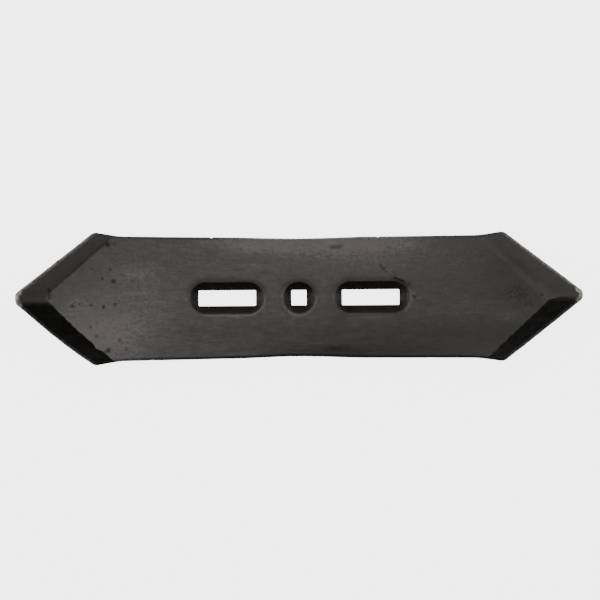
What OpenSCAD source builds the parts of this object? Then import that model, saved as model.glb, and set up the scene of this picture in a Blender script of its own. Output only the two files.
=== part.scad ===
// Reversible cultivator point: one bowed steel bar with a bevelled point at each end.
// Millimetres, +Z up. The bar lies on its convex back, with the middle of the back at the origin.
// +X runs along the bar, and the countersunk concave front faces +Z.

/* [Bar] */
// Length of the bar, measured along its back face
bar_l = 386; // [350:1:430]
// Thickness of the bar
bar_t = 10; // [8:0.5:12]
// Radius of the bow, measured on the back face
bow_r = 700; // [500:10:2000]
// Radius on the long edges of the bar
edge_r = 2; // [1:0.1:3]

/* [Waist and arms] */
// Width at the waist, beside the middle hole
waist_w = 80; // [76:0.5:82]
// Length over which the waist widens to the arms
waist_l = 100; // [60:5:120]
// Width of both arms just outside the waist
arm_w = 82.3; // [82:0.1:84]
// Width of the left arm where its flare starts
left_arm_w = 84.2; // [82:0.1:86]
// Width of the right arm where its flare starts
right_arm_w = 82.8; // [82:0.1:86]

/* [Points] */
// Width across the left shoulders, to their sharp corners
left_shoulder_w = 90.3; // [87:0.1:96]
// Width across the right shoulders, to their sharp corners
right_shoulder_w = 87.8; // [87:0.1:96]
// Length of the flare that leads out to the shoulders
flare_l = 16; // [8:1:24]
// Rounding at the start of the flare, as the length taken from each side
flare_round = 5; // [2:0.5:7]
// Distance along the back from the shoulders to the tip
point_l = 53.3; // [45:0.1:65]
// Width of the blunt front of the left tip, to its sharp corners
left_tip_w = 6.8; // [5:0.2:12]
// Width of the blunt front of the right tip, to its sharp corners
right_tip_w = 5.4; // [5:0.2:12]
// Rounding of the shoulders, as the length taken from each side of the corner
shoulder_round = 2.4; // [1:0.1:6]
// Rounding of the corners of the tips, as the length taken from each side
tip_round = 2.2; // [0.5:0.1:2.4]
// Height of the outward bulge half-way along the left cutting edges
left_bulge = 0.6; // [0:0.1:1.5]
// Height of the outward bulge half-way along the right cutting edges
right_bulge = 0.2; // [0:0.1:1.5]
// Radius left on the corners behind the cutting edges
cut_r = 0.4; // [0.2:0.1:0.5]

/* [Bevels] */
// Height of the upright land at the middle of each cutting edge
land = 2; // [1:0.1:4]
// Height of the upright land at the front of each tip
tip_land = 2; // [1:0.1:4]
// Width of the left bevels at the shoulders
left_bevel_w = 10.5; // [7:0.1:14]
// Width of the left bevels at their inner corners near the tip
left_bevel_tip_w = 13.6; // [8:0.1:15]
// Length of the narrow bevel on the left tip
left_tip_bevel_l = 22; // [12:0.5:24]
// Width of the right bevels at the shoulders
right_bevel_w = 8.8; // [7:0.1:14]
// Width of the right bevels at their inner corners near the tip
right_bevel_tip_w = 12; // [8:0.1:15]
// Length of the narrow bevel on the right tip
right_tip_bevel_l = 18; // [12:0.5:24]

/* [Bolt holes] */
// Across the flats of the square hole in the middle
square_w = 10.4; // [8:0.1:12]
// Width of the two slots
slot_w = 10.6; // [8:0.1:12]
// Length of the two slots
slot_l = 39.4; // [20:0.1:50]
// Distance along the back from the middle to the centre of each slot
slot_x = 49.1; // [42:0.1:60]
// Rounding in the corners of the square hole and the slots
hole_r = 0.6; // [0.5:0.1:2]
// Diameter of the countersinks at the front face
sink_d = 21.4; // [18:0.1:24]
// Angle across the countersinks
sink_angle = 90; // [80:1:110]

/* [Hidden] */
$fn = 96;
steel = [0.24, 0.235, 0.24];

// Arc length along the back to each shoulder.
shoulder_s = bar_l / 2 - point_l;
// Number of steps round each corner of the section.
corner_steps = 4;

function unit(v) = v / norm(v);
function mix(a, b, t) = a + (b - a) * t;
function smooth(t) = t * t * (3 - 2 * t);

// Point of a quadratic curve from a to b that is pulled towards the corner c.
function pull(a, c, b, t) = (1 - t) * (1 - t) * a + 2 * t * (1 - t) * c + t * t * b;

// Place on the bowed bar: s along the back, y across, h up from the back face.
function bow(s, y, h) =
  let (a = s / bow_r * 180 / PI)
  [(bow_r - h) * sin(a), y, bow_r - (bow_r - h) * cos(a)];

// Corners of the flat outline of one end, as [distance along, half width].
function arm_in() = [waist_l / 2, arm_w / 2];
function flare_foot(aw) = [shoulder_s - flare_l, aw / 2];
function shoulder(sw) = [shoulder_s, sw / 2];
function tip(tw) = [bar_l / 2, tw / 2];

// Half outline of one end, from just past the middle out to the front of the tip.
function half_outline(aw, sw, tw, bulge) =
  let (
    f = flare_foot(aw),
    c = shoulder(sw),
    p = tip(tw),
    in_dir = unit(f - c),
    out_dir = unit(p - c),
    f0 = f + unit(arm_in() - f) * flare_round,
    f1 = f - in_dir * flare_round,
    c0 = c + in_dir * shoulder_round,
    c1 = c + out_dir * shoulder_round,
    p0 = p - out_dir * tip_round,
    p1 = p - [0, tip_round]
  )
  concat(
    [for (i = [1:10]) [waist_l / 20 * i, mix(waist_w, arm_w, smooth(i / 10)) / 2]],
    [for (i = [1:5]) mix(arm_in(), f0, i / 5)],
    [for (i = [1:4]) pull(f0, f, f1, i / 4)],
    [for (i = [0:5]) pull(c0, c, c1, i / 5)],
    [for (i = [1:8]) mix(c1, p0, i / 8) + [0, bulge * 4 * i / 8 * (1 - i / 8)]],
    [for (i = [1:4]) pull(p0, p, p1, i / 4)]
  );

// Corner radius of the section at a distance along the bar.
function corner_r(s) =
  let (t = (abs(s) - (shoulder_s - flare_l)) / flare_l)
  mix(edge_r, cut_r, min(1, max(0, t)));

// Rounded section at one station, as places on the bowed bar.
function section(s, w) =
  let (r = corner_r(s))
  [
    for (q = [0:3])
      for (i = [0:corner_steps])
        let (
          a = -90 + q * 90 + 90 * i / corner_steps,
          side = q < 2 ? 1 : -1,
          level = (q == 0 || q == 3) ? r : bar_t - r
        )
        bow(s, side * (w - r) + r * cos(a), level + r * sin(a))
  ];

left_half = half_outline(left_arm_w, left_shoulder_w, left_tip_w, left_bulge);
right_half = half_outline(right_arm_w, right_shoulder_w, right_tip_w, right_bulge);
outline = concat(
  [for (i = [len(left_half) - 1:-1:0]) [-left_half[i][0], left_half[i][1]]],
  [[0, waist_w / 2]],
  right_half
);

// The bar before it is bevelled and punched: its rounded section carried along the bow.
module bar() {
  n = (corner_steps + 1) * 4;
  last = len(outline) - 1;
  points = [for (o = outline) each section(o[0], o[1])];
  sides = [
    for (k = [0:last - 1])
      for (i = [0:n - 1])
        let (
          a = k * n + i,
          b = k * n + (i + 1) % n
        )
        each [[a, b + n, b], [a, a + n, b + n]]
  ];
  caps = [
    [for (i = [0:n - 1]) i],
    [for (i = [n - 1:-1:0]) last * n + i]
  ];
  polyhedron(points, concat(sides, caps), convexity = 4);
}

// Takes away everything in front of the plane through three points.
module shave(a, b, c) {
  u = unit(b - a);
  n = unit(cross(b - a, c - a));
  v = cross(n, u);
  multmatrix([
    [u[0], v[0], n[0], a[0]],
    [u[1], v[1], n[1], a[1]],
    [u[2], v[2], n[2], a[2]],
    [0, 0, 0, 1]
  ])
    translate([-60, -60, 0])
      cube([150, 120, 30]);
}

// The two side bevels and the narrow tip bevel of the right end.
module bevels(sw, tw, bulge, bw, btw, tl) {
  c = shoulder(sw);
  p = tip(tw);
  d = unit(p - c);
  inward = [d[1], -d[0]];
  mid = mix(c, p, 0.5) - inward * bulge;
  q = mix(c, p, 0.62);
  in_c = c + inward * bw;
  in_q = q + inward * mix(bw, btw, 0.8);
  for (m = [1, -1]) {
    a = bow(in_c[0], m * in_c[1], bar_t);
    b = bow(in_q[0], m * in_q[1], bar_t);
    e = bow(mid[0], m * mid[1], land);
    if (m > 0)
      shave(a, b, e);
    else
      shave(b, a, e);
  }
  t0 = bow(bar_l / 2 - tl, 0, bar_t);
  t1 = bow(bar_l / 2, 0, tip_land);
  shave(t0, t1, t0 + [0, 10, 0]);
}

// Carries the children to the back face at a distance along the bar, square to the bow.
module on_bow(s) {
  translate(bow(s, 0, 0))
    rotate([0, -s / bow_r * 180 / PI, 0])
      children();
}

// Straight-sided hole with rounded corners, right through the bar.
module neck_hole(l, w) {
  translate([0, 0, -2])
    linear_extrude(bar_t + 4) {
      square([l - 2 * hole_r, w], center = true);
      square([l, w - 2 * hole_r], center = true);
      for (x = [-1, 1])
        for (y = [-1, 1])
          translate([x * (l / 2 - hole_r), y * (w / 2 - hole_r)])
            circle(hole_r);
    }
}

// Countersink for a bolt head over a hole of width w, long enough for a given travel.
module countersink(w, travel) {
  slope = tan(sink_angle / 2);
  low_r = w / 2 - 1;
  top_r = sink_d / 2 + 2 * slope;
  low = bar_t - (sink_d / 2 - low_r) / slope;
  high = bar_t + 2;
  translate([0, 0, low]) {
    if (travel == 0)
      cylinder(h = high - low, r1 = low_r, r2 = top_r);
    if (travel > 0) {
      for (m = [0, 1])
        mirror([m, 0, 0])
          translate([travel / 2, 0, 0])
            rotate([0, 0, -90])
              rotate_extrude(angle = 180)
                polygon([[0, 0], [low_r, 0], [top_r, high - low], [0, high - low]]);
      translate([-travel / 2, 0, 0])
        rotate([90, 0, 90])
          linear_extrude(travel)
            polygon([[-low_r, 0], [low_r, 0], [top_r, high - low], [-top_r, high - low]]);
    }
  }
}

// The bar cut to its bevelled points.
module pointed_bar() {
  difference() {
    bar();
    bevels(
      right_shoulder_w, right_tip_w, right_bulge, right_bevel_w, right_bevel_tip_w,
      right_tip_bevel_l
    );
    mirror([1, 0, 0])
      bevels(
        left_shoulder_w, left_tip_w, left_bulge, left_bevel_w, left_bevel_tip_w,
        left_tip_bevel_l
      );
  }
}

module point_blade() {
  color(steel)
    difference() {
      difference() {
        pointed_bar();
        neck_hole(square_w, square_w);
        for (s = [-slot_x, slot_x])
          on_bow(s)
            neck_hole(slot_l, slot_w);
      }
      countersink(square_w, 0);
      for (s = [-slot_x, slot_x])
        on_bow(s)
          countersink(slot_w, slot_l - slot_w);
    }
}

point_blade();
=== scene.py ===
# %% [markdown]
# # A reversible cultivator point
#
# The piece is one forged bar of spring steel. A tine drags it through the soil point first, and
# when one end is worn away the farmer unbolts it and turns it round. It is rolled flat, cut to a
# point at both ends, bevelled, punched and then bent to a gentle bow.
#
# It is built here in the same order. The first cells draw the flat shape and say how high its
# front stands at each place. A later cell bends the finished mesh onto the bow. Sizes are in
# millimetres until then: `s` runs along the bar, `y` across it and `h` up from its back face.

# %% Load the frame
import math
import bmesh
import bpy
import numpy as np
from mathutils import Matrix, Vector, geometry, kdtree, noise


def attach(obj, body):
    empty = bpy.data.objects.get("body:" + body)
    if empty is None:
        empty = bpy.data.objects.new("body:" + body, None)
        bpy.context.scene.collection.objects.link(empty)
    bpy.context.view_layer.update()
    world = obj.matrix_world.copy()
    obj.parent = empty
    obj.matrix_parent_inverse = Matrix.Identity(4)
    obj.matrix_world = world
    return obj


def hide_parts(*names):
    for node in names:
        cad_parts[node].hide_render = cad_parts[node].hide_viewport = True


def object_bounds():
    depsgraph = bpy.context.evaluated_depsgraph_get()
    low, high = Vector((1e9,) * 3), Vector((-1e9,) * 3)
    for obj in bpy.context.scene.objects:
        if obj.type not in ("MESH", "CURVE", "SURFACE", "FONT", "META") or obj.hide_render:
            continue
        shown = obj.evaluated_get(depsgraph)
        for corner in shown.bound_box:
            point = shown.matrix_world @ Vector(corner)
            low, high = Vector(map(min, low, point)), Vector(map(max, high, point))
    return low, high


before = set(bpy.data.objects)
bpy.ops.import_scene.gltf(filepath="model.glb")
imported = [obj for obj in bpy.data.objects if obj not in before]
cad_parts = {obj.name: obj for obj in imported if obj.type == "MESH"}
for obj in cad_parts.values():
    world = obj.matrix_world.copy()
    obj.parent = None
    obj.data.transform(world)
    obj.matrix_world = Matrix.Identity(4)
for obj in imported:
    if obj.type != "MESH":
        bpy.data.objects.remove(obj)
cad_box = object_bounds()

# %% [markdown]
# ## Main sizes
#
# The bar is symmetric about its middle, so lengths are given from there: half the length of the
# back, the place of the shoulders, and where the waist has widened to the arms. Corners are
# rounded by a quadratic curve, and each rounding says how much of both sides it takes.

# %% Main sizes
HALF = 193.0
SHOULDER = 139.7
FLARE = 16.0
THICK = 10.0
BOW = 700.0
WAIST_END = np.array([50.0, 41.15])
ROUNDING = {"flare": 5.0, "shoulder": 2.4, "tip_side": 2.2, "tip_front": 1.8}
print("back:", 2 * HALF, "mm long, bowed to a radius of", BOW, "mm")

# %% [markdown]
# ## Four unequal quarters
#
# Forging leaves the four corners of such a bar a little different. So each quarter, named by its
# side and whether it lies up or down, has its own half widths. `bulge` is how far its cutting edge
# swells outward, and a `lean` below one moves that swelling towards the shoulder.

# %% Half widths of each quarter
QUARTERS = {
    (-1, 1): {"waist": 40.15, "arm": 42.1, "shoulder": 45.15, "tip": 3.9, "bulge": -0.1, "lean": 1.0},
    (-1, -1): {"waist": 39.85, "arm": 42.1, "shoulder": 45.15, "tip": 2.7, "bulge": 1.4, "lean": 0.85},
    (1, 1): {"waist": 40.15, "arm": 41.4, "shoulder": 43.9, "tip": 3.2, "bulge": 0.1, "lean": 1.0},
    (1, -1): {"waist": 39.85, "arm": 41.4, "shoulder": 43.9, "tip": 2.0, "bulge": 0.1, "lean": 1.0},
}
for side in (-1, 1):
    print("width across shoulders", side, round(sum(QUARTERS[side, up]["shoulder"] for up in (1, -1)), 2))

# %% [markdown]
# ## Small tools
#
# `smooth` eases from 0 to 1 without a kink, and nearly every blend below uses it. The others make
# a direction of length one, a rounded corner, and the swelling of a cutting edge.

# %% Small tools


def smooth(t):
    t = np.clip(t, 0.0, 1.0)
    return t * t * (3 - 2 * t)


def unit(v):
    return v / np.linalg.norm(v)


def rounded(a, corner, b, steps):
    t = np.linspace(0, 1, steps)[:, None]
    return (1 - t) ** 2 * a + 2 * t * (1 - t) * corner + t**2 * b


def edge_bulge(q, t):
    t = np.clip(t, 0.0, 1.0)
    return q["bulge"] * np.sin(np.pi * t ** q["lean"])


print("smooth at a quarter, half and three quarters:", smooth(np.array([0.25, 0.5, 0.75])).round(3))

# %% [markdown]
# ## Outline of one quarter
#
# A quarter runs from the middle of the bar out to the front of its tip, as distance along and half
# width: the waist, the arm, the flare, the shoulder, the cutting edge and the blunt nose.

# %% Outline of one quarter


def quarter(q):
    foot = np.array([SHOULDER - FLARE, q["arm"]])
    corner = np.array([SHOULDER, q["shoulder"]])
    tip = np.array([HALF, q["tip"]])
    along, out = unit(foot - corner), unit(tip - corner)
    s = np.linspace(0, WAIST_END[0], 26)
    waist = np.column_stack([s, q["waist"] + (WAIST_END[1] - q["waist"]) * smooth(s / WAIST_END[0])])
    f0, f1 = foot + unit(WAIST_END - foot) * ROUNDING["flare"], foot - along * ROUNDING["flare"]
    c0, c1 = corner + along * ROUNDING["shoulder"], corner + out * ROUNDING["shoulder"]
    e0 = tip - out * ROUNDING["tip_side"]
    t = np.linspace(0, 1, 50)[1:-1]
    edge = c1 + (e0 - c1) * t[:, None]
    edge[:, 1] += edge_bulge(q, t)
    nose = rounded(e0, tip, tip - [0, ROUNDING["tip_front"]], 9)
    return np.vstack([waist, rounded(f0, foot, f1, 8), rounded(c0, corner, c1, 8), edge, nose])


print("points in one quarter:", len(quarter(QUARTERS[1, 1])))

# %% [markdown]
# ## The whole outline
#
# The quarters are mirrored into place, joined into one loop and spaced evenly, because even steps
# give even triangles along the edge later.

# %% The whole outline


def resample(points, step):
    d = np.r_[0, np.cumsum(np.linalg.norm(np.diff(points, axis=0), axis=1))]
    n = max(2, int(round(d[-1] / step)))
    at = np.linspace(0, d[-1], n + 1)[:-1]
    return np.column_stack([np.interp(at, d, points[:, i]) for i in (0, 1)])


def whole_outline(step):
    turns = []
    for side, up in ((1, 1), (-1, 1), (-1, -1), (1, -1)):
        pts = quarter(QUARTERS[side, up]) * [side, up]
        turns.append(pts[::-1] if side * up > 0 else pts)
    loop = np.vstack(turns)
    keep = np.r_[True, np.linalg.norm(np.diff(loop, axis=0), axis=1) > 0.02]
    return resample(np.vstack([loop[keep], loop[:1]]), step)


EDGE_STEP = 0.7
outline = whole_outline(EDGE_STEP)
print("outline points:", len(outline), "reach:", outline.min(axis=0), outline.max(axis=0))

# %% [markdown]
# ## An uneven, forged edge
#
# No forged edge is quite straight. Each point of the outline moves a little in or out, by a slow
# wave along the whole bar and a quicker one on the cutting edges, where stones have worn them.
# Nicks in the long edges are cut the same way, each by its place, side, depth and length.

# %% Wear on the outline
NICKS = [(-59.8, 1, 0.55, 0.8), (54.4, 1, 0.6, 0.8), (-101.0, -1, 0.2, 2.0), (90.0, -1, 0.15, 2.5)]
SLOW, QUICK, FINE = 0.1, 0.14, 0.08


def normals(loop):
    d = np.roll(loop, -1, axis=0) - np.roll(loop, 1, axis=0)
    d /= np.linalg.norm(d, axis=1)[:, None]
    return np.column_stack([d[:, 1], -d[:, 0]])


def wave(points, scale, seed):
    return np.array([noise.noise(Vector((p[0] / scale, p[1] / scale, seed))) for p in points])


def worn(loop):
    out = normals(loop)
    cutting = smooth((np.abs(loop[:, 0]) - SHOULDER - 2) / 4)
    shift = SLOW * wave(loop, 22, 3.1)
    shift = shift + cutting * (QUICK * wave(loop, 5, 8.2) + FINE * wave(loop, 2, 1.7))
    for s, up, depth, size in NICKS:
        near = np.exp(-(((loop[:, 0] - s) / size) ** 2)) * (loop[:, 1] * up > 0)
        shift -= depth * near
    return loop + out * shift[:, None]


ahead = np.roll(outline, -1, axis=0)
area = 0.5 * np.sum(outline[:, 0] * ahead[:, 1] - ahead[:, 0] * outline[:, 1])
outline = worn(outline if area > 0 else outline[::-1])
print("plan area in square centimetres:", round(abs(area) / 100, 1))

# %% [markdown]
# ## Distance from the edge
#
# Rounded edges, worn noses and rubbed lines all depend on how far a place lies from the outline. A
# tree of points sorted by place finds the nearest one at once, even for 40,000 questions.

# %% Distance from the edge


def tree_of(points):
    tree = kdtree.KDTree(len(points))
    for i, p in enumerate(points):
        tree.insert((p[0], p[1], 0), i)
    tree.balance()
    return tree


edge_tree = tree_of(resample(np.vstack([outline, outline[:1]]), 0.12))


def edge_distance(points):
    return np.array([edge_tree.find((p[0], p[1], 0))[2] for p in points])


print("from the middle to the edge:", edge_distance([(0.0, 0.0)]).round(2), "mm")

# %% [markdown]
# ## How high the front stands
#
# The front is one height over the flat plan, because nothing on it overhangs. It starts as the
# flat bar and each feature takes the lower of two heights: the side bevels fall from an inner
# line to a thin land at the cutting edge, a narrow third bevel runs down to the tip, and the
# countersinks are cones of 45 degrees round a line as long as the bolt can slide. A smooth
# minimum makes the soft ridges that a hot forging has.
#
# `wide` is the width of a side bevel at the shoulder and near the tip. The others say how soft its
# ridge is, how much its face swells, and how unevenly its inner line runs.

# %% Sizes of the bevels
BEVELS = {
    (-1, 1): {"wide": (10.3, 12.7), "soft": 0.8, "crown": 0.15, "ragged": 0.1},
    (-1, -1): {"wide": (10.5, 14.1), "soft": 0.2, "crown": 0.05, "ragged": 0.2},
    (1, 1): {"wide": (8.9, 12.0), "soft": 5.0, "crown": 0.0, "ragged": 0.0},
    (1, -1): {"wide": (8.7, 12.2), "soft": 0.6, "crown": 0.05, "ragged": 0.3},
}
LAND = 2.0
TIP_BEVEL = {-1: 22.0, 1: 18.0}
TIP_MID = {-1: 0.2, 1: 0.9}
NOTCHED = (-1, -1)
FULL_WIDTH_AT = 0.62


def smooth_min(a, b, k):
    t = np.clip(0.5 + 0.5 * (b - a) / k, 0, 1)
    return b + (a - b) * t - k * t * (1 - t)


print("4 and 4 meet softly at", smooth_min(4.0, 4.0, 0.8), "mm")

# %% [markdown]
# ## Three countersunk holes
#
# The middle bolt passes a square hole and the outer two pass slots, so the tine can have other bolt
# spacings. `half` is half the size of the hole. `spine` is the line that the cone follows, from
# the centre of the hole, and a flat cone is a distance from that line.

# %% Holes and countersinks
HOLES = [
    {"at": 0.0, "half": (5.2, 5.2), "spine": (0.0, 0.0)},
    {"at": -49.1, "half": (19.7, 5.3), "spine": (-15.2, 13.9)},
    {"at": 49.1, "half": (19.7, 5.3), "spine": (-13.6, 15.5)},
]
SINK = 10.7
CORNER = 0.65


def sink_distance(s, y, hole):
    x = s - hole["at"]
    x = x - np.clip(x, hole["spine"][0], hole["spine"][1])
    return np.hypot(x, y)


print("countersinks:", 2 * SINK, "mm across, holes:", [tuple(2 * v for v in h["half"]) for h in HOLES])

# %% [markdown]
# ## Faces of the side bevels
#
# Each bevel has its own frame: `t` runs along its cutting edge from shoulder to tip and `d` runs
# inward. Its face is a straight slope in `d`, so its height needs only the share of its width.

# %% Faces of the side bevels


def bevel_frame(side, up):
    q = QUARTERS[side, up]
    corner = np.array([SHOULDER, q["shoulder"]])
    tip = np.array([HALF, q["tip"]])
    along = unit(tip - corner)
    return q, corner, along, np.array([along[1], -along[0]]), np.linalg.norm(tip - corner)


def bevel_width(side, up, t):
    a, b = BEVELS[side, up]["wide"]
    rough = np.array([noise.noise(Vector((v * 22, side * 3.3, up * 5.1))) for v in np.ravel(t)])
    notch = 1.3 * np.exp(-(((t - 0.1) / 0.035) ** 2)) if (side, up) == NOTCHED else 0.0
    even = a + (b - a) * np.clip(t / FULL_WIDTH_AT, -0.2, 1.2)
    return even + BEVELS[side, up]["ragged"] * rough * 2 - notch


def bevel_height(s, y, side, up):
    q, corner, along, inward, length = bevel_frame(side, up)
    ds, dy = s * side - corner[0], y * up - corner[1]
    t = (ds * along[0] + dy * along[1]) / length
    d = ds * inward[0] + dy * inward[1] + edge_bulge(q, t)
    share = d / bevel_width(side, up, t)
    crown = BEVELS[side, up]["crown"] * share * (1 - share) * (share > 0) * (share < 1)
    return LAND + (THICK - LAND) * (share + crown)


for side, up in BEVELS:
    print("bevel", side, up, "is", bevel_width(side, up, np.array([0.3])).round(2), "mm wide")

# %% [markdown]
# ## Pits
#
# Scale that was rolled in and fell out leaves small round pits, most of them at the left end. Each
# has a place, a depth and a size, and the material darkens them again further down.

# %% Pits
PITS = [
    (-139.2, -25.1, 0.3, 0.9), (-134.3, -5.6, 0.4, 1.3), (-127.4, 11.8, 0.4, 1.3), (-126.1, -3.7, 0.4, 1.1),
    (-123.5, -28.0, 0.35, 1.0), (-134.9, 13.9, 0.35, 1.2), (-155.5, -4.8, 0.35, 1.2),
    (-142.5, -4.2, 0.3, 1.2),
    (-150.7, -3.5, 0.2, 0.8), (-115.0, 11.8, 0.2, 0.9), (-129.4, 19.9, 0.3, 1.1), (-143.3, -19.0, 0.25, 0.9),
    (-118.8, -34.1, 0.3, 0.9), (-131.1, -34.6, 0.4, 1.5), (-142.0, 20.5, 0.3, 0.9), (-130.9, 36.5, 0.4, 1.6),
    (166.4, 1.0, 0.25, 1.2), (158.8, -4.9, 0.2, 1.0), (155.4, -5.6, 0.2, 1.0), (90.5, 9.0, 0.15, 0.8),
    (59.0, 20.1, 0.2, 1.0), (56.9, 18.1, 0.2, 0.9), (79.5, 0.3, 0.3, 1.2), (61.1, 33.6, 0.15, 0.9),
]
print("pits:", len(PITS), "deepest:", max(p[2] for p in PITS))

# %% [markdown]
# ## The face between the bevels
#
# Rolls and hammer leave the face less than flat: two shallow troughs run along it, it falls off
# towards the long edges round the waist, and the punch has pulled the metal down a little round
# each countersink.

# %% The face between the bevels
TROUGHS = [(4.3, 3.4, 0.14), (-9.3, 3.2, 0.12)]
FALL, FALL_REACH = 0.5, 13
DISH, DISH_WIDTH = 0.15, 1.5


def face_height(s, y, de):
    band = smooth((s + 150) / 30) * (1 - smooth((s - 70) / 40))
    trough = sum(depth * np.exp(-(((y - mid) / wide) ** 2)) for mid, wide, depth in TROUGHS)
    h = THICK - band * trough
    h = h - FALL * np.exp(-(((s - 20) / 66) ** 2)) * np.clip((FALL_REACH - de) / FALL_REACH, 0, 1) ** 2
    for hole in HOLES:
        past = np.maximum(sink_distance(s, y, hole) - SINK, 0)
        h = h - DISH * np.exp(-((past / DISH_WIDTH) ** 2))
    for px, py, depth, size in PITS:
        h = h - 0.4 * depth * np.exp(-(((s - px) ** 2 + (y - py) ** 2) / (0.8 * size) ** 2))
    return h


here = np.array([0.0]), np.array([30.0]), np.array([10.0])
print("face height above the middle hole:", face_height(*here).round(3), "mm")

# %% [markdown]
# ## Everything that is cut from the front
#
# The bevels, the worn nose and the countersinks are each a height of their own, and the lower one
# wins. The long edges are rounded by a quarter circle whose radius shrinks to almost nothing along
# the cutting edges.

# %% Height of the front and the back
EDGE_RADIUS, CUT_RADIUS = 1.9, 0.3
NOSE, NOSE_SLOPE, NOSE_ROUND = 0.9, 1.1, 3.0


def corner_radius(s):
    return EDGE_RADIUS + (CUT_RADIUS - EDGE_RADIUS) * smooth((np.abs(s) - SHOULDER + FLARE) / FLARE)


def front_height(s, y, de):
    h = face_height(s, y, de)
    for side in (-1, 1):
        far = s * side > 90
        for up in (1, -1):
            b = bevel_height(s, y, side, up)
            h = np.where(far, smooth_min(h, b, BEVELS[side, up]["soft"]), h)
        tip = LAND + (THICK - LAND) * (HALF - s * side) / TIP_BEVEL[side]
        h = np.where(far, smooth_min(h, tip, 0.8), h)
        nose = np.hypot(HALF - s * side, 0.55 * (y - TIP_MID[side]))
        worn_nose = NOSE + NOSE_SLOPE * de + 0.9 * np.maximum(nose - NOSE_ROUND, 0)
        h = np.where(far, smooth_min(h, worn_nose, 0.3), h)
    r = corner_radius(s)
    inside = np.clip(de, 0, r)
    h -= r - np.sqrt(np.maximum(r**2 - (r - inside) ** 2, 0))
    for hole in HOLES:
        ds = sink_distance(s, y, hole)
        h = smooth_min(h, THICK - SINK + ds, 0.35)
    return h


def back_height(s, y, de):
    r = corner_radius(s) + 0.15
    inside = np.clip(de, 0, r)
    return r - np.sqrt(np.maximum(r**2 - (r - inside) ** 2, 0))


print("front height above the middle hole:", front_height(*here).round(3), "mm")

# %% [markdown]
# ## Points where the surface bends
#
# A mesh shows a form best when its points lie where the form turns. Rings follow the outline
# through the rounded edge, rings follow the hole and the rim of each countersink, and rows
# follow the inner line of each bevel. An even field of points fills the rest.

# %% Loops round the holes


def hole_loop(hole, grow, step):
    a, b = hole["half"][0] + grow, hole["half"][1] + grow
    r = CORNER + grow
    pts = []
    for k, (cx, cy) in enumerate(((1, -1), (1, 1), (-1, 1), (-1, -1))):
        ang = np.radians(np.linspace(-90, 0, 6) + 90 * k)
        pts.append(np.column_stack([cx * (a - r) + r * np.cos(ang), cy * (b - r) + r * np.sin(ang)]))
    loop = np.vstack(pts) + [hole["at"], 0]
    return resample(np.vstack([loop, loop[:1]]), step)


def sink_ring(hole, radius, step):
    lo, hi = hole["spine"]
    right = np.radians(np.linspace(-90, 90, 24))
    left = np.radians(np.linspace(90, 270, 24))
    loop = np.vstack([
        np.column_stack([hi + radius * np.cos(right), radius * np.sin(right)]),
        np.column_stack([lo + radius * np.cos(left), radius * np.sin(left)]),
    ]) + [hole["at"], 0]
    return resample(np.vstack([loop, loop[:1]]), step)


loops = [hole_loop(hole, 0.0, 0.5) for hole in HOLES]
print("points round the holes:", [len(loop) for loop in loops])

# %% Rows along the edges and the bevels


def in_hole(points, grow=0.0):
    hit = np.zeros(len(points), bool)
    for hole in HOLES:
        a, b = hole["half"][0] + grow, hole["half"][1] + grow
        hit |= (np.abs(points[:, 0] - hole["at"]) < a) & (np.abs(points[:, 1]) < b)
    return hit


def offset_ring(distance):
    ring = outline - normals(outline) * distance
    return ring[edge_distance(ring) > distance * 0.93]


def bevel_rows():
    rows = []
    for side, up in BEVELS:
        q, corner, along, inward, length = bevel_frame(side, up)
        t = np.arange(-0.25, 0.72, 0.8 / length)
        for shift in (-0.5, -0.15, 0.1, 0.45):
            d = bevel_width(side, up, t) + shift - edge_bulge(q, t)
            p = corner + along * (t * length)[:, None] + inward * d[:, None]
            rows.append(p[p[:, 1] > 0.2] * [side, up])
    return np.vstack(rows)


ring_distances = (0.15, 0.5, 1.0, 1.6, 2.3)
rings = [offset_ring(d) for d in ring_distances]
creases = bevel_rows()
print("points on the edge rings:", sum(map(len, rings)), "along the bevels:", len(creases))

# %% An even field


def hexes(s0, s1, half, step):
    out = []
    for j, y in enumerate(np.arange(-half, half, step * 0.866)):
        s = np.arange(s0, s1, step) + (step / 2 if j % 2 else 0)
        out.append(np.column_stack([s, np.full_like(s, y)]))
    return np.vstack(out)


def thin(points, fixed, gap):
    tree = tree_of(fixed)
    return points[np.array([tree.find((p[0], p[1], 0))[2] > gap for p in points])]


print("points in a square centimetre of the finest field:", len(hexes(0, 10, 5, 0.7)))

# %% [markdown]
# ## Triangles from points
#
# Blender has a constrained Delaunay routine. It joins loose points into well-shaped triangles
# and keeps every given edge, so the outline and the holes stay exact. Triangles outside the
# outline or inside a hole are dropped afterwards.

# %% Triangulate the plan


def inside_outline(points):
    upper = outline[outline[:, 1] >= 0]
    lower = outline[outline[:, 1] < 0]
    upper, lower = upper[np.argsort(upper[:, 0])], lower[np.argsort(lower[:, 0])]
    top = np.interp(points[:, 0], upper[:, 0], upper[:, 1])
    bottom = np.interp(points[:, 0], lower[:, 0], lower[:, 1])
    return (points[:, 1] < top) & (points[:, 1] > bottom)


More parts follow.
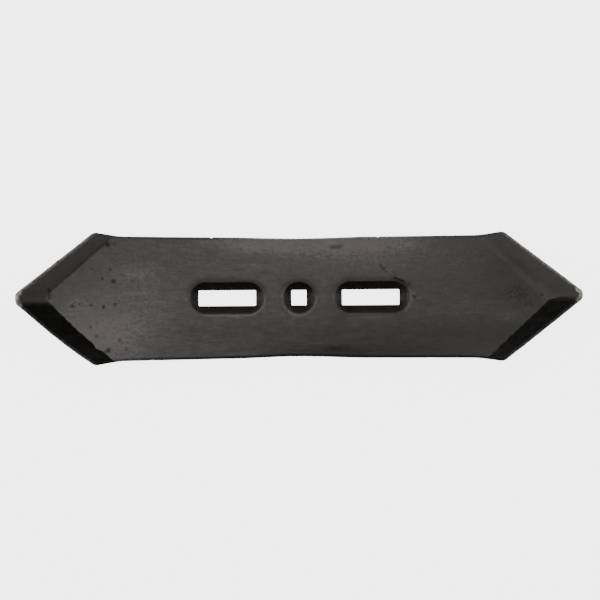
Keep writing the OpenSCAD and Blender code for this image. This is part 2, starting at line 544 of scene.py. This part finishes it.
def triangulate(rings, loose):
    fixed = np.vstack([outline] + loops)
    edges, start = [], 0
    for loop in [outline] + loops:
        n = len(loop)
        edges += [(start + i, start + (i + 1) % n) for i in range(n)]
        start += n
    points = np.vstack([fixed, rings, loose])
    points = points + np.column_stack([wave(points * 7, 3, 5.5), wave(points * 7, 3, 9.5)]) * (
        0.08 * (np.arange(len(points)) >= len(fixed)))[:, None]
    out = geometry.delaunay_2d_cdt([Vector(p) for p in points.tolist()], edges, [], 0, 1e-6)
    xy = np.array([tuple(v) for v in out[0]])
    tris = np.array(out[2])
    mid = xy[tris].mean(axis=1)
    keep = inside_outline(mid)
    for hole, loop in zip(HOLES, loops):
        near = np.where(keep & in_hole(mid, 0.0))[0]
        for i in near:
            x, y = abs(mid[i, 0] - hole["at"]), abs(mid[i, 1])
            a, b = hole["half"]
            if x < a and y < b:
                cx, cy = x - (a - CORNER), y - (b - CORNER)
                if not (cx > 0 and cy > 0 and math.hypot(cx, cy) > CORNER):
                    keep[i] = False
    return xy, tris[keep]


print("points that lie inside the outline:", int(inside_outline(outline * 0.99).sum()), "of", len(outline))

# %% [markdown]
# ## Front and back
#
# The front gets rows wherever it bends and a fine field between, finest at the bevelled ends. The
# back only turns at its edges, so a field of a third of the density is enough.

# %% Front
rims = [sink_ring(h, SINK + d, 0.8) for h in HOLES for d in (-1.0, -0.4, 0.1, 0.6, 1.2, 2.2)]
rims = [r[~in_hole(r, 0.3)] for r in rims]
necks = [hole_loop(h, d, 0.6) for h in HOLES for d in (0.45, 1.1)]
marks = np.vstack(rings + rims + necks)
creases = creases[inside_outline(creases)]
creases = creases[edge_distance(creases) > 2.6]
marks = np.vstack([marks, creases])
ends = np.vstack([hexes(-194, -146, 47, 0.7), hexes(146, 194, 47, 0.7)])
field = np.vstack([hexes(-146, 146, 47, 0.9), ends])
field = field[inside_outline(field) & ~in_hole(field, 1.3)]
field = field[edge_distance(field) > 2.7]
field = thin(field, marks, 0.5)
plan, front_tris = triangulate(marks, field)
print("front points:", len(plan), "triangles:", len(front_tris))

# %% Back
back_marks = np.vstack(rings[:4] + [hole_loop(h, 0.8, 1.0) for h in HOLES])
back_field = hexes(-194, 194, 47, 2.3)
back_field = back_field[inside_outline(back_field) & ~in_hole(back_field, 1.5)]
back_field = back_field[edge_distance(back_field) > 2.5]
back_plan, back_tris = triangulate(back_marks, back_field)
print("back points:", len(back_plan), "triangles:", len(back_tris))

# %% [markdown]
# ## Bend and close the solid
#
# The front and the back are lifted to their heights, and strips of quads close the sides and the
# walls of the holes. Then the whole is bent: distance along the bar becomes an angle round an
# axis 700 mm above the back, so every section stays square to the bow. A last unevenness of under
# a tenth of a millimetre breaks up the mirror images, as rolling does on the real bar.

# %% Bend onto the bow


def bent(s, y, h):
    a = s / BOW
    return np.column_stack([(BOW - h) * np.sin(a), y, BOW - (BOW - h) * np.cos(a)]) / 1000


def uneven(s, y):
    p = np.column_stack([s, y])
    slow = np.array([noise.noise(Vector((a / 30, b / 12, 4.4))) for a, b in p])
    fine = np.array([noise.noise(Vector((a / 9, b / 2.2, 7.7))) for a, b in p])
    return 0.09 * slow + 0.035 * fine


print("lift at the tips:", bent(np.array([HALF]), np.array([0.0]), np.array([0.0])).round(4)[0, 2], "m")

# %% Heights of all points
front_de = edge_distance(plan)
front_h = front_height(plan[:, 0], plan[:, 1], front_de)
front_h = front_h + uneven(plan[:, 0], plan[:, 1]) * smooth(front_de / 3)
back_de = edge_distance(back_plan)
back_h = back_height(back_plan[:, 0], back_plan[:, 1], back_de)
print("front from", front_h.min().round(2), "to", front_h.max().round(2), "mm")

# %% Close the sides
SIDE_SWELL = 0.12
top = bent(plan[:, 0], plan[:, 1], front_h)
low = bent(back_plan[:, 0], back_plan[:, 1], back_h)
spans = []
start = 0
for loop in [outline] + loops:
    spans.append((start, len(loop)))
    start += len(loop)
between = []
faces = [tuple(t) for t in front_tris.tolist()]
faces += [tuple(int(i) + len(top) for i in t[::-1]) for t in back_tris.tolist()]
base = len(top) + len(low)
for k, (first, count) in enumerate(spans):
    index = np.arange(first, first + count)
    rows = [index]
    for share in (0.33, 0.67):
        h = front_h[index] * (1 - share) + back_h[index] * share
        push = normals(plan[index]) * (SIDE_SWELL if k == 0 else 0.0)
        ring = bent(plan[index, 0] + push[:, 0], plan[index, 1] + push[:, 1], h)
        rows.append(base + np.arange(count))
        between.append(ring)
        base += count
    rows.append(len(top) + index)
    for upper, lower in zip(rows, rows[1:]):
        for i in range(count):
            j = (i + 1) % count
            faces.append((int(upper[i]), int(upper[j]), int(lower[j]), int(lower[i])))
verts = np.vstack([top, low] + between)
print("faces:", len(faces))

# %% [markdown]
# ## From arrays to an object
#
# The arrays become a mesh in one call. Faces that turn by less than 38 degrees are shaded as one
# smooth surface, and sharper edges stay sharp. A closed solid has two faces at every edge, which is
# counted here. The piece then rides on the body of the part and replaces its plain solid.

# %% Make the object
mesh = bpy.data.meshes.new("point")
mesh.from_pydata(verts.tolist(), [], faces)
blade = bpy.data.objects.new("forged_point", mesh)
bpy.context.scene.collection.objects.link(blade)
bm = bmesh.new()
bm.from_mesh(mesh)
bmesh.ops.recalc_face_normals(bm, faces=bm.faces)
open_edges = sum(1 for e in bm.edges if len(e.link_faces) != 2)
bm.to_mesh(mesh)
bm.free()
mesh.set_sharp_from_angle(angle=math.radians(38))
for poly in mesh.polygons:
    poly.use_smooth = True
print("vertices:", len(mesh.vertices), "open edges:", open_edges)
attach(blade, "root")
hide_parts("point_blade")

# %% [markdown]
# ## Where the steel is worn, and where light and shade are painted
#
# Masks are numbers stored on the points of the mesh, which the material reads by name. They say
# where the tips are worn to bare metal, where the cutting edges are rubbed, where the skin is
# smeared, scratched or pitted, and where light and shade are painted into it: lighter and darker
# patches, highlights on the rims, troughs and upper edges, and shade in the creases, countersinks
# and on the bevels. Each is a sum of soft ovals, short strokes or arcs round a countersink, so a
# mark is moved by changing its line in a list.

# %% Painted light and shade patches
# Painted highlights and painted shade on the flat face, each a place, two sizes and an amount: lighter at
# the lower left, the left end and the top middle, darker along the lower middle and the upper right, and
# lighter or darker at some countersink ends.
LIGHT_AND_SHADE_PATCHES = [
    (-141.0, -25.0, 34.0, 20.0, 1.3), (-20.0, 37.0, 32.0, 6.0, 1.45), (38.0, 37.0, 38.0, 6.0, 1.75),
    (40.0, 26.0, 70.0, 14.0, 0.3), (50.0, -26.0, 110.0, 12.0, -0.5), (35.0, -37.0, 65.0, 5.0, -0.6),
    (145.0, 22.0, 14.0, 14.0, -0.3), (-105.0, 0.0, 30.0, 24.0, 0.3),
    (30.0, -7.0, 6.0, 9.0, -0.4), (-138.0, -2.0, 24.0, 26.0, 0.35), (-71.5, 0.0, 4.0, 4.0, -0.4),
    (27.0, 0.0, 3.5, 4.0, 0.3), (8.5, 0.0, 3.0, 4.0, -0.3),
]
print("dusty and dull places:", len(LIGHT_AND_SHADE_PATCHES))

# %% Smears
SMEARS = [
    (22.0, 37.5, 7.0, 1.8, 1.3), (26.0, 34.2, 6.5, 1.8, -0.6), (45.0, 30.0, 20.0, 10.0, 0.6),
    (60.0, 18.0, 4.0, 3.0, 0.6), (11.5, 27.5, 4.5, 1.5, 0.6), (25.0, -34.5, 7.0, 1.5, -0.9),
    (-113.0, 17.0, 10.0, 5.0, 1.2), (151.0, 1.5, 11.0, 6.5, -0.75), (68.6, 13.9, 1.2, 1.0, 1.0),
    (145.0, -14.0, 9.0, 4.0, 0.5), (157.0, -8.3, 4.0, 1.0, 0.6), (-77.4, -0.7, 1.5, 1.5, 0.8),
    (-103.0, 12.0, 6.0, 8.0, 0.5), (-152.0, -2.0, 8.0, 5.0, 0.3), (-130.0, -22.0, 16.0, 9.0, 0.4),
    (-130.0, 37.0, 5.0, 1.2, -1.0), (-132.0, -35.5, 2.6, 1.0, -1.3), (118.0, -9.0, 24.0, 6.0, 0.25),
    (-138.0, -2.0, 24.0, 26.0, -0.35), (75.0, 8.0, 3.0, 3.0, -0.9), (40.0, 16.0, 16.0, 3.0, -0.3),
    (-60.0, 24.0, 25.0, 8.0, 0.2),
]
print("smears:", len(SMEARS))

# %% Strokes, and painted highlights round the rims
# Strokes, each two ends, a width and an amount. Most are scratches, light or dark. The long light stroke on
# the left centre line, those under both slots and right of the right slot, and the one on the left nose
# ridge are painted highlights on the troughs, dished rims and ridge. The dark ones along the left nose
# crease and along the upper left crease are painted shade.
STROKES = [
    ((-121.0, 3.7), (-102.0, 4.2), 0.6, 0.7), ((34.0, -14.2), (64.0, -13.2), 0.9, 0.22),
    ((-134.5, 1.8), (-128.0, 1.7), 0.6, 0.3), ((6.0, 30.5), (17.0, 26.5), 0.6, 0.5),
    ((8.5, 28.2), (13.0, 29.0), 0.6, -0.7), ((56.0, 22.0), (60.0, 17.0), 0.6, -0.8),
    ((-46.0, -13.3), (-36.0, -12.6), 0.8, 0.12), ((72.0, 10.5), (66.0, 13.0), 0.8, -0.9),
    ((-171.5, 0.0), (-171.5, 7.0), 0.5, -0.9), ((-170.2, 0.0), (-170.2, 6.0), 0.4, -0.7),
    ((17.0, 37.3), (26.0, 37.8), 1.1, 0.45), ((-32.0, 23.0), (-14.0, 19.0), 0.6, 0.25),
    ((-20.0, 16.0), (-8.0, 21.0), 0.6, 0.2),
    ((77.5, 4.0), (80.5, 1.0), 0.5, 0.6), ((77.0, -1.5), (83.0, -0.5), 0.5, 0.5),
    ((-186.0, 0.6), (-173.0, -0.6), 1.6, 0.1), ((-154.3, 18.3), (-148.0, 25.5), 0.9, -0.25),
    ((-137.1, 33.7), (-131.0, 37.8), 0.9, -0.4),
    ((-169.4, 5.7), (-133.0, 37.1), 0.8, -0.15), ((-160.5, 14.7), (-157.0, 16.5), 0.8, -0.2),
    ((150.0, 23.5), (163.0, 9.5), 2.2, -0.2), ((22.5, 33.9), (29.5, 34.6), 1.5, -0.4),
    ((100.0, -3.0), (150.0, -4.0), 0.5, 0.12), ((104.0, -11.0), (148.0, -12.0), 0.5, 0.12),
]
# Painted highlights round the countersinks, mostly on their lower right, where the dished rims tilt towards
# the light: hole, radius, middle angle, reach and amount.
RIM_HIGHLIGHTS = [
    (1, 11.8, -45, 45, 0.7), (0, 12.1, -60, 60, 0.7), (2, 12.4, -5, 35, 0.9), (0, 11.7, 180, 40, 0.25),
]
print("strokes:", len(STROKES), "rims:", len(RIM_HIGHLIGHTS))

# %% [markdown]
# ## A place for every point of the mesh
#
# The masks need to know where each point of the mesh lies on the flat bar. The order is that of the
# mesh: the front, the back, and then the two extra rows on each side wall.

# %% Places of the mesh points
s_all = np.concatenate([plan[:, 0], back_plan[:, 0]])
y_all = np.concatenate([plan[:, 1], back_plan[:, 1]])
de_all = np.concatenate([front_de, back_de])
for first, count in spans:
    for _ in range(2):
        s_all = np.concatenate([s_all, plan[first:first + count, 0]])
        y_all = np.concatenate([y_all, plan[first:first + count, 1]])
        de_all = np.concatenate([de_all, front_de[first:first + count]])
print("places:", len(s_all), "points:", len(mesh.vertices))

# %% Bare tips, rubbed edges and the flat face
cutting = smooth((np.abs(s_all) - SHOULDER + 2) / 5)
to_tip = np.hypot(HALF - np.abs(s_all), 0.6 * (y_all - np.where(s_all > 0, TIP_MID[1], TIP_MID[-1])))
bare = smooth((5.6 - to_tip) / 1.4) * smooth((2.7 - de_all) / 0.8)
# Rubbed bare metal along the cutting edges is wear. It is full on the upper edges and cut to 0.4 on the
# lower ones, which is a painted highlight on the edges that face the light.
rub_and_edge_highlight = cutting * np.exp(-((de_all / 1.1) ** 2)) * np.where(y_all > 0, 1.0, 0.4)
rub_and_edge_highlight[len(plan):] *= 0.2
bare[len(plan):] *= 0.6
flat = np.ones_like(s_all)
for side, up in BEVELS:
    above = bevel_height(s_all, y_all, side, up) - THICK
    flat *= np.where(s_all * side > 90, smooth(above / 0.6 + 0.5), 1.0)
print("share of points on the flat face:", flat.mean().round(3))

# %% Ovals, strokes and arcs


def blots(places):
    total = np.zeros_like(s_all)
    for px, py, rx, ry, amount in places:
        total += amount * np.exp(-(((s_all - px) / rx) ** 2 + ((y_all - py) / ry) ** 2))
    return total


def strokes(lines):
    total = np.zeros_like(s_all)
    for (s0, y0), (s1, y1), wide, amount in lines:
        ds, dy = s1 - s0, y1 - y0
        t = np.clip(((s_all - s0) * ds + (y_all - y0) * dy) / (ds**2 + dy**2), 0, 1)
        off = (s_all - s0 - t * ds) ** 2 + (y_all - y0 - t * dy) ** 2
        total += amount * np.exp(-off / wide**2)
    return total


def arcs(places):
    total = np.zeros_like(s_all)
    for k, radius, middle, reach, amount in places:
        x = s_all - HOLES[k]["at"]
        x = x - np.clip(x, *HOLES[k]["spine"])
        turn = (np.degrees(np.arctan2(y_all, x)) - middle + 180) % 360 - 180
        on_arc = 1 - smooth((np.abs(turn) - reach) / 15)
        total += amount * np.exp(-(((np.hypot(x, y_all) - radius) / 0.7) ** 2)) * on_arc
    return total


print("largest sum of the tint ovals:", blots(LIGHT_AND_SHADE_PATCHES).max().round(2))

# %% [markdown]
# ## Painted shade in the hollows and on the bevels
#
# Shade is painted into the skin inside the countersinks, on the bevels, most on the lower ones that
# turn away from the light and more at the left end than the right, and just above each rim, where
# the punch has bent it. The mask of painted light and shade says this with numbers below zero.

# %% Painted light and shade, smears, scratches, painted highlights and pits
# Painted shade on the bevels: a share at each end, more at the left than the right, and much more on the
# lower bevels, which face away from the light. The one oval on the third line takes some of it off the lower
# right bevel near the shoulder.
BEVEL_SHADE_BY_END = {-1: 0.35, 1: 0.12}
LOWER_BEVEL_SHADE, SINK_SHADE, RIM_SHADE = 1.2, 0.75, 0.6
SHADE_LIFTED_NEAR = [(138.0, -37.0, 9.0, 7.0, 0.6)]
# The inside of each countersink, and a band just above each rim, for painted shade.
sunk = np.zeros_like(s_all)
halo = np.zeros_like(s_all)
for hole in HOLES:
    past = sink_distance(s_all, y_all, hole) - SINK
    sunk = np.maximum(sunk, smooth((0.3 - past) / 0.6))
    halo = np.maximum(halo, np.exp(-(((past - 1.2) / 2.2) ** 2)) * smooth(y_all / 8))
# Painted shade on the bevels, with the patches of painted light and shade on the flat face.
bevel_shade = np.where(s_all < 0, BEVEL_SHADE_BY_END[-1], BEVEL_SHADE_BY_END[1]) + LOWER_BEVEL_SHADE * smooth((-y_all - 0.8) / 4)
painted_light_and_shade = blots(LIGHT_AND_SHADE_PATCHES) * flat - (1 - flat) * (bevel_shade - blots(SHADE_LIFTED_NEAR))
# Painted shade inside each countersink, away from its middle line, and just above each rim.
painted_light_and_shade = painted_light_and_shade - SINK_SHADE * sunk * smooth((np.abs(y_all) - 1.5) / 5) - RIM_SHADE * halo
smear = blots(SMEARS) * flat
# Scratches, with painted highlights on the rims, troughs and nose ridge and painted shade along the creases.
scratches_and_painted_light = arcs(RIM_HIGHLIGHTS) + strokes(STROKES)
pit = blots([(px, py, size, size, 2.6 * depth) for px, py, depth, size in PITS])


masks = {"bare": bare, "rub_and_edge_highlight": rub_and_edge_highlight, "painted_light_and_shade": painted_light_and_shade, "smear": smear, "scratches_and_painted_light": scratches_and_painted_light, "pit": pit}
for name, values in masks.items():
    kept = mesh.attributes.new(name, "FLOAT", "POINT")
    kept.data.foreach_set("value", values.astype(np.float32))
print("masks:", [a.name for a in mesh.attributes if a.data_type == "FLOAT"])

# %% [markdown]
# ## Scaled and oiled steel
#
# The bar keeps the dark skin that hot rolling leaves, which shines softly. Stretched noise gives
# the fine streaks along the rolling direction, round noise gives the mottling, and both feed the
# colour, the roughness and a small bump. Bare and rubbed places turn metallic and lighter.
#
# The nodes are wired in Python. Four small helpers keep that short: a noise, a change of range, a
# sum or product, and a mix of two colours.

# %% Material and its helpers
mat = bpy.data.materials.new("rolled_steel")
mat.use_nodes = True
nt = mat.node_tree
nt.nodes.clear()
link = nt.links.new


def node(kind, **values):
    n = nt.nodes.new(kind)
    for k, v in values.items():
        setattr(n, k, v)
    return n


def noise_field(coords, scale, stretch, detail, rough=0.55):
    m = node("ShaderNodeMapping")
    m.inputs["Scale"].default_value = stretch
    t = node("ShaderNodeTexNoise")
    t.inputs["Scale"].default_value = scale
    t.inputs["Detail"].default_value = detail
    t.inputs["Roughness"].default_value = rough
    link(coords, m.inputs["Vector"])
    link(m.outputs["Vector"], t.inputs["Vector"])
    return t.outputs["Fac"]


def spread(value, lo, hi, out_lo, out_hi):
    r = node("ShaderNodeMapRange")
    r.inputs["From Min"].default_value = lo
    r.inputs["From Max"].default_value = hi
    r.inputs["To Min"].default_value = out_lo
    r.inputs["To Max"].default_value = out_hi
    link(value, r.inputs["Value"])
    return r.outputs["Result"]


def combine(op, a, b):
    m = node("ShaderNodeMath", operation=op)
    for i, v in enumerate((a, b)):
        if isinstance(v, (int, float)):
            m.inputs[i].default_value = v
        else:
            link(v, m.inputs[i])
    return m.outputs[0]


def mix_colour(factor, a, b):
    m = node("ShaderNodeMix", data_type="RGBA")
    link(factor, m.inputs["Factor"])
    for name, v in (("A", a), ("B", b)):
        socket = [i for i in m.inputs if i.name == name and i.type == "RGBA"][0]
        if isinstance(v, tuple):
            socket.default_value = (*v, 1)
        else:
            link(v, socket)
    return [o for o in m.outputs if o.type == "RGBA"][0]


def mask(name):
    return node("ShaderNodeAttribute", attribute_name=name).outputs["Fac"]


print("helpers ready, nodes so far:", len(nt.nodes))

# %% Five noises
coords = node("ShaderNodeTexCoord").outputs["Object"]
streaks = noise_field(coords, 1.0, (70, 600, 600), 5)
long_streaks = noise_field(coords, 1.0, (12, 260, 260), 4)
mottle = noise_field(coords, 160, (1, 1.3, 1.3), 6, 0.7)
grain = noise_field(coords, 1400, (1, 1, 1), 4, 0.6)
specks = noise_field(coords, 520, (0.8, 1, 1), 3, 0.7)
print("noises wired, nodes:", len(nt.nodes))

# %% The dark skin
shade = combine("ADD", spread(streaks, 0.3, 0.7, -0.12, 0.12), spread(mottle, 0.3, 0.7, -0.3, 0.3))
shade = combine("ADD", shade, spread(long_streaks, 0.3, 0.7, -0.08, 0.08))
shade = combine("ADD", shade, 0.5)
skin = mix_colour(shade, (0.004, 0.0038, 0.0038), (0.026, 0.0245, 0.024))
# Painted shade: where the painted light and shade mask is below zero, the skin is mixed towards near black.
shaded = combine("MULTIPLY", combine("MINIMUM", mask("painted_light_and_shade"), 0.0), -0.22)
skin = mix_colour(shaded, skin, (0.002, 0.002, 0.002))
print("skin wired, nodes:", len(nt.nodes))

# %% [markdown]
# ## Painted light, smears and strokes
#
# Each mark is a pale or dark colour mixed over the skin, by its mask times a speckle. The speckle
# makes the marks break up into grains, as rust does, and not lie on the steel like paint.

# %% Painted light, smears and strokes
# Where the painted light and shade mask is above zero, a pale speckled colour is mixed in as painted light.
spots = combine("ADD", spread(mottle, 0.3, 0.7, 0.75, 1.25), spread(specks, 0.35, 0.65, -0.6, 0.6))
painted_light_specks = combine("MULTIPLY", combine("MAXIMUM", mask("painted_light_and_shade"), 0.0), spots)
brightened = mix_colour(painted_light_specks, skin, (0.13, 0.12, 0.12))
smears = combine("MULTIPLY", mask("smear"), spread(specks, 0.42, 0.62, 0.2, 1.0))
brown = mix_colour(combine("MULTIPLY", combine("MAXIMUM", smears, 0.0), 0.7), brightened, (0.15, 0.132, 0.125))
# Pale strokes and rim arcs: scratches, and painted highlights on the rims, troughs and nose ridge.
light = combine("MULTIPLY", combine("MAXIMUM", mask("scratches_and_painted_light"), 0.0), spread(specks, 0.35, 0.6, 0.5, 1.0))
brown = mix_colour(light, brown, (0.2, 0.19, 0.18))
dark_smears = combine("MULTIPLY", combine("MINIMUM", smears, 0.0), -0.8)
# Dark strokes: scratches, and painted shade along the creases.
dark_scratches_and_crease_shade = combine("MULTIPLY", combine("MINIMUM", mask("scratches_and_painted_light"), 0.0), -1.0)
hidden = combine("MAXIMUM", dark_smears, mask("pit"))
hidden = combine("MINIMUM", combine("ADD", hidden, dark_scratches_and_crease_shade), 1.0)
dark = mix_colour(hidden, brown, (0.004, 0.004, 0.004))
print("marks wired, nodes:", len(nt.nodes))

# %% [markdown]
# ## Bare metal and gloss
#
# Where the tips and cutting edges are rubbed, the skin is gone and clean metal shows. Everywhere
# else the gloss is that of oiled scale, and it falls where shade is painted and in dark marks.

# %% Bare metal and gloss
rubbed_and_lit_edges = combine("MULTIPLY", mask("rub_and_edge_highlight"), spread(specks, 0.36, 0.62, 0.05, 0.95))
worn_metal = combine("MULTIPLY", mask("bare"), spread(specks, 0.38, 0.58, 0.3, 1.0))
metal = combine("MINIMUM", combine("ADD", rubbed_and_lit_edges, worn_metal), 1.0)
colour = mix_colour(metal, dark, (0.5, 0.48, 0.45))
# Painted shade: the gloss falls where the painted light and shade mask is below zero.
gloss = combine("ADD", 0.5, combine("MULTIPLY", combine("MINIMUM", mask("painted_light_and_shade"), 0.0), 0.3))
gloss = combine("MAXIMUM", combine("SUBTRACT", gloss, combine("MULTIPLY", hidden, 0.35)), 0.0)
print("metal and gloss wired, nodes:", len(nt.nodes))

# %% Shader and bump
bsdf = node("ShaderNodeBsdfPrincipled")
bsdf.inputs["IOR"].default_value = 1.8
link(colour, bsdf.inputs["Base Color"])
link(combine("MULTIPLY", metal, 0.8), bsdf.inputs["Metallic"])
link(gloss, bsdf.inputs["Specular IOR Level"])
rough = combine("ADD", spread(mottle, 0.3, 0.7, 0.36, 0.5), spread(streaks, 0.3, 0.7, -0.05, 0.05))
link(rough, bsdf.inputs["Roughness"])
bump_height = combine("ADD", combine("MULTIPLY", grain, 0.35), combine("MULTIPLY", streaks, 0.5))
bump_height = combine("ADD", bump_height, combine("MULTIPLY", mottle, 0.6))
bump = node("ShaderNodeBump")
bump.inputs["Strength"].default_value = 0.5
bump.inputs["Distance"].default_value = 0.0002
link(bump_height, bump.inputs["Height"])
link(bump.outputs["Normal"], bsdf.inputs["Normal"])
out = node("ShaderNodeOutputMaterial")
link(bsdf.outputs["BSDF"], out.inputs["Surface"])
mesh.materials.clear()
mesh.materials.append(mat)
print("material nodes:", len(nt.nodes))

# %% [markdown]
# ## A pale floor
#
# The bar lies on a wide sheet of its own pale colour, set just under its back. The sheet glows a
# little, so it reads as white paper, and it is kept out of the mirror images in the steel.

# %% Floor
floor_mesh = bpy.data.meshes.new("floor")
size = 12.0
corners = [(-size, -size, 0), (size, -size, 0), (size, size, 0), (-size, size, 0)]
floor_mesh.from_pydata(corners, [], [(0, 1, 2, 3)])
floor = bpy.data.objects.new("floor", floor_mesh)
bpy.context.scene.collection.objects.link(floor)
floor.location.z = cad_box[0][2] - 0.0002
pale = bpy.data.materials.new("pale_floor")
pale.use_nodes = True
paint = pale.node_tree.nodes["Principled BSDF"]
paint.inputs["Base Color"].default_value = (0.93, 0.93, 0.93, 1)
paint.inputs["Roughness"].default_value = 0.9
paint.inputs["Specular IOR Level"].default_value = 0.0
paint.inputs["Emission Color"].default_value = (1, 1, 1, 1)
paint.inputs["Emission Strength"].default_value = 4.0
floor_mesh.materials.append(pale)
floor.visible_glossy = False
print("floor:", round(2 * size, 1), "m square")

# %% [markdown]
# ## Soft boxes round a dome
#
# Dark steel shows mostly what it mirrors, so its greys come from where the light stands. Each soft
# box is placed by its lean from straight up and its turn round the bar, and its power follows
# from its size and glow. The near side of the room has almost no light, so the bevels and
# countersinks that turn that way go nearly black, while those that turn to the far side are grey.

# %% Lights


def softbox(name, lean, turn, side, glow, colour):
    a, b = math.radians(lean), math.radians(turn)
    light = bpy.data.lights.new(name, "AREA")
    light.shape = "SQUARE"
    light.size = side
    light.energy = math.pi * side**2 * glow
    light.color = colour
    obj = bpy.data.objects.new(name, light)
    bpy.context.scene.collection.objects.link(obj)
    obj.location = Vector((math.sin(a) * math.cos(b), math.sin(a) * math.sin(b), math.cos(a))) * REACH
    obj.rotation_euler = obj.location.to_track_quat("Z", "Y").to_euler()


REACH = 2.3
MIDDLE = (1.0, 0.97, 0.955)
RIGHT = (1.0, 0.96, 0.965)
LEFT = (1.0, 0.98, 0.915)
WARM = (1.0, 0.98, 0.78)
BOXES = [
    ("overhead", 0, 0, 1.4, 1.12, MIDDLE),
    ("top_right", 18, 0, 1.5, 0.5, RIGHT),
    ("top_left", 30, 180, 1.4, 0.05, WARM),
    ("far_right", 40, 45, 1.5, 0.4, RIGHT),
    ("far", 40, 90, 1.5, 0.3, MIDDLE),
    ("far_left", 40, 135, 1.5, 0.15, LEFT),
    ("near", 40, 270, 1.5, 0.08, LEFT),
    ("low_right", 70, 0, 1.5, 0.74, RIGHT),
    ("low_far_right", 70, 45, 1.5, 0.7, LEFT),
    ("low_far", 70, 90, 1.5, 0.4, MIDDLE),
    ("low_far_left", 70, 135, 1.5, 0.55, LEFT),
    ("low_left", 70, 180, 1.5, 1.37, LEFT),
]
for box in BOXES:
    softbox(*box)
print("soft boxes:", len(BOXES))

# %% Room light
world = bpy.data.worlds.new("studio")
world.use_nodes = True
world.node_tree.nodes["Background"].inputs["Color"].default_value = (1.0, 0.98, 0.86, 1)
world.node_tree.nodes["Background"].inputs["Strength"].default_value = 0.045
bpy.context.scene.world = world
print("room light:", round(world.node_tree.nodes["Background"].inputs["Strength"].default_value, 3))

# %% [markdown]
# ## Camera straight above
#
# A long lens 1.5 m up sees the bar almost without perspective, like a catalogue picture. The lens
# is worked out from the scale, so one millimetre at the side of the waist always covers the same
# number of pixels.

# %% Camera
HEIGHT = 1.5
WAIST_PIXELS, WAIST_MM, WAIST_TOP_MM = 117.7, 80.0, 8
PICTURE = 600
lens = bpy.data.cameras.new("camera")
lens.sensor_width = 36
lens.lens = WAIST_PIXELS / WAIST_MM * (HEIGHT * 1000 - WAIST_TOP_MM) / PICTURE * lens.sensor_width
camera = bpy.data.objects.new("camera", lens)
bpy.context.scene.collection.objects.link(camera)
camera.location = (0.00068, -0.0016, HEIGHT)
camera.rotation_euler = (0, 0, math.radians(-0.4))
bpy.context.scene.camera = camera
print("lens:", round(lens.lens, 2), "mm")
